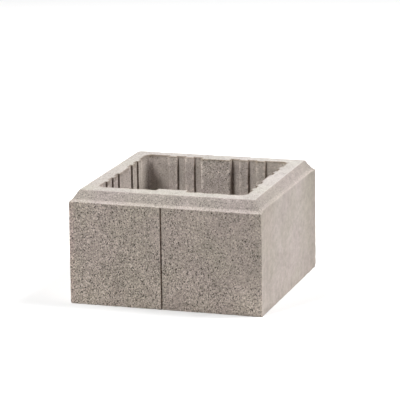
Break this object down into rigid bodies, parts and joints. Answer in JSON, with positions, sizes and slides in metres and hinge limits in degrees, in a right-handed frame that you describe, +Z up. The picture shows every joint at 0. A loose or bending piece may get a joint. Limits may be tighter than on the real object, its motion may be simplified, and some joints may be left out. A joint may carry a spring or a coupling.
{
  "type": "fence pillar block",
  "caption": "Square hollow concrete block with a bevelled top, ribbed cavity walls and a jointed front, stacked in courses to build a fence pillar.",
  "frame": {"origin": "middle of the underside", "axes": "+Z up, the jointed front face towards -Y"},
  "size_m": [0.38, 0.38, 0.22],
  "materials": {
    "concrete": "cast concrete, pitted and coarse on the front face, finer on the other faces"
  },
  "bodies": {
    "root": {"pillar_block": "concrete"}
  },
  "joints": []
}
